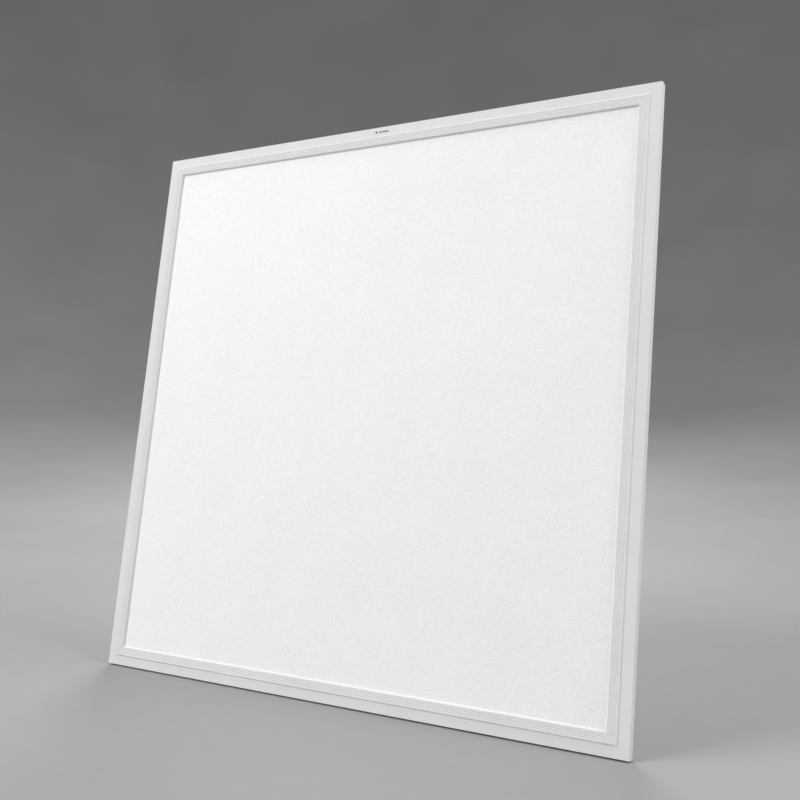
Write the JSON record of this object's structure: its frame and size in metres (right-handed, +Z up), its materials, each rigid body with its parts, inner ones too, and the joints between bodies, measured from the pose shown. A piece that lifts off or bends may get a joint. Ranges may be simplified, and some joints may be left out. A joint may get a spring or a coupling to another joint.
{
  "type": "led panel light",
  "caption": "Square slim edge-lit LED panel light with a white ribbed frame, opal diffuser, closed back cover and rear terminal box for a ceiling grid.",
  "frame": {"origin": "middle of the panel's bottom edge, in the plane of the frame's back rim, which is the middle of the whole depth", "axes": "+Z up the panel's height, X along its width, -Y out of the luminous front, +Y out of the back cover"},
  "size_m": [0.595, 0.02, 0.595],
  "materials": {
    "frame_white": "satin",
    "cover_white": "satin",
    "opal_diffuser": "matte",
    "clear_acrylic": "gloss",
    "white_film": "matte",
    "white_foam": "matte",
    "grey_foam": "matte",
    "silicone": "matte",
    "zinc_steel": "satin",
    "rivet_aluminium": "satin",
    "board_white": "satin",
    "led_housing": "matte",
    "led_phosphor": "satin",
    "thermal_tape": "matte",
    "solder": "satin",
    "wire_red": "satin",
    "wire_black": "satin",
    "box_white": "satin",
    "black_rubber": "matte",
    "circuit_green": "satin",
    "terminal_grey": "satin",
    "brass": "satin",
    "label": "satin"
  },
  "bodies": {
    "root": {"frame_top": "frame_white", "frame_bottom": "frame_white", "frame_left": "frame_white", "frame_right": "frame_white", "corner_key_top_left": "zinc_steel", "corner_key_top_right": "zinc_steel", "corner_key_bottom_left": "zinc_steel", "corner_key_bottom_right": "zinc_steel", "corner_key_screws": "zinc_steel", "back_cover": "cover_white", "back_cover_screws": "zinc_steel", "diffuser_plate": "opal_diffuser", "dust_seal": "grey_foam", "light_guide_plate": "clear_acrylic", "reflector_sheet": "white_film", "foam_backing": "white_foam", "light_guide_bumpers": "silicone", "edge_tape_top": "white_film", "edge_tape_bottom": "white_film", "led_board_left": "board_white", "led_board_right": "board_white", "led_packages_left": "led_housing", "led_packages_right": "led_housing", "led_phosphor_left": "led_phosphor", "led_phosphor_right": "led_phosphor", "thermal_tape_left": "thermal_tape", "thermal_tape_right": "thermal_tape", "solder_pads": "solder", "positive_wires": "wire_red", "negative_wires": "wire_black", "wire_bushing": "black_rubber", "terminal_box_base": "box_white", "terminal_box_lid": "box_white", "terminal_lid_screws": "zinc_steel", "terminal_box_rivets": "rivet_aluminium", "cable_grommet": "black_rubber", "junction_board": "circuit_green", "junction_board_screws": "zinc_steel", "terminal_block": "terminal_grey", "terminal_contacts": "brass", "terminal_clamp_screws": "zinc_steel", "safety_lug": "zinc_steel", "safety_lug_rivets": "rivet_aluminium", "rating_label": "label"}
  },
  "joints": []
}
